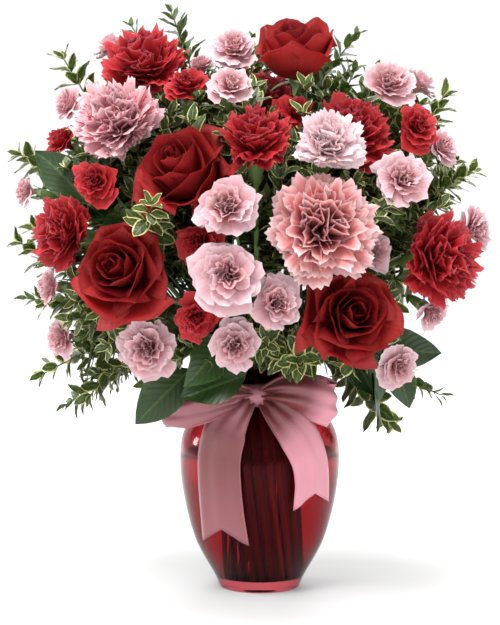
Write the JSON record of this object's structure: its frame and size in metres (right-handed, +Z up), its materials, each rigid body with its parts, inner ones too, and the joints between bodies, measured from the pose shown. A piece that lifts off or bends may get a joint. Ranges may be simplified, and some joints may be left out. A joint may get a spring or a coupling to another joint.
{
  "type": "roses in a vase",
  "caption": "Domed bouquet of red roses, red and pink carnations and mixed greenery standing in a water-filled ruby glass jar vase with a satin bow at its neck.",
  "frame": {"origin": "centre of the vase's foot, on the table", "axes": "+Z up; -Y is the front with the bow; +X is to the right as seen from the front"},
  "size_m": [0.4031, 0.3399, 0.4849],
  "materials": {
    "glass": "clear ruby, polished",
    "water": "clear water",
    "ribbon": "satin",
    "rose": "velvety",
    "red": "matte",
    "pink": "matte",
    "stem": "satin green",
    "leaf": "waxy"
  },
  "bodies": {
    "root": {"glass_vase": "glass", "water": "water", "ribbon_bow": "ribbon", "rose_left_bloom": "rose", "rose_left_stem": "stem", "rose_right_bloom": "rose", "rose_right_stem": "stem", "rose_upper_left_bloom": "rose", "rose_upper_left_stem": "stem", "rose_top_bloom": "rose", "rose_top_stem": "stem", "rose_back_left_bloom": "rose", "rose_back_left_stem": "stem", "rose_back_right_bloom": "rose", "rose_back_right_stem": "stem", "red_carnation_upper_left_bloom": "red", "red_carnation_upper_left_stem": "stem", "red_carnation_upper_right_bloom": "red", "red_carnation_upper_right_stem": "stem", "red_carnation_right_bloom": "red", "red_carnation_right_stem": "stem", "red_carnation_left_bloom": "red", "red_carnation_left_stem": "stem", "red_carnation_centre_bloom": "red", "red_carnation_centre_stem": "stem", "red_carnation_high_bloom": "red", "red_carnation_high_stem": "stem", "red_carnation_back_top_bloom": "red", "red_carnation_back_top_stem": "stem", "red_carnation_back_low_bloom": "red", "red_carnation_back_low_stem": "stem", "pink_carnation_left_bloom": "pink", "pink_carnation_left_stem": "stem", "pink_carnation_middle_bloom": "pink", "pink_carnation_middle_stem": "stem", "pink_carnation_pale_bloom": "pink", "pink_carnation_pale_stem": "stem", "pink_carnation_back_bloom": "pink", "pink_carnation_back_stem": "stem", "pink_spray_upper_left": "pink", "pink_spray_top": "pink", "pink_spray_upper_right": "pink", "pink_spray_centre": "pink", "pink_spray_right": "pink", "pink_spray_lower_left": "pink", "pink_spray_back_left": "pink", "pink_spray_back_right": "pink", "red_spray_left": "red", "red_spray_middle": "red", "red_spray_top": "red", "red_spray_back": "red", "pittosporum_left": "leaf", "pittosporum_right": "leaf", "pittosporum_low_front": "leaf", "pittosporum_low_left": "leaf", "myrtle_top": "leaf", "myrtle_side": "leaf", "broad_leaf_left": "leaf", "broad_leaf_right": "leaf", "greens_back": "leaf"}
  },
  "joints": []
}
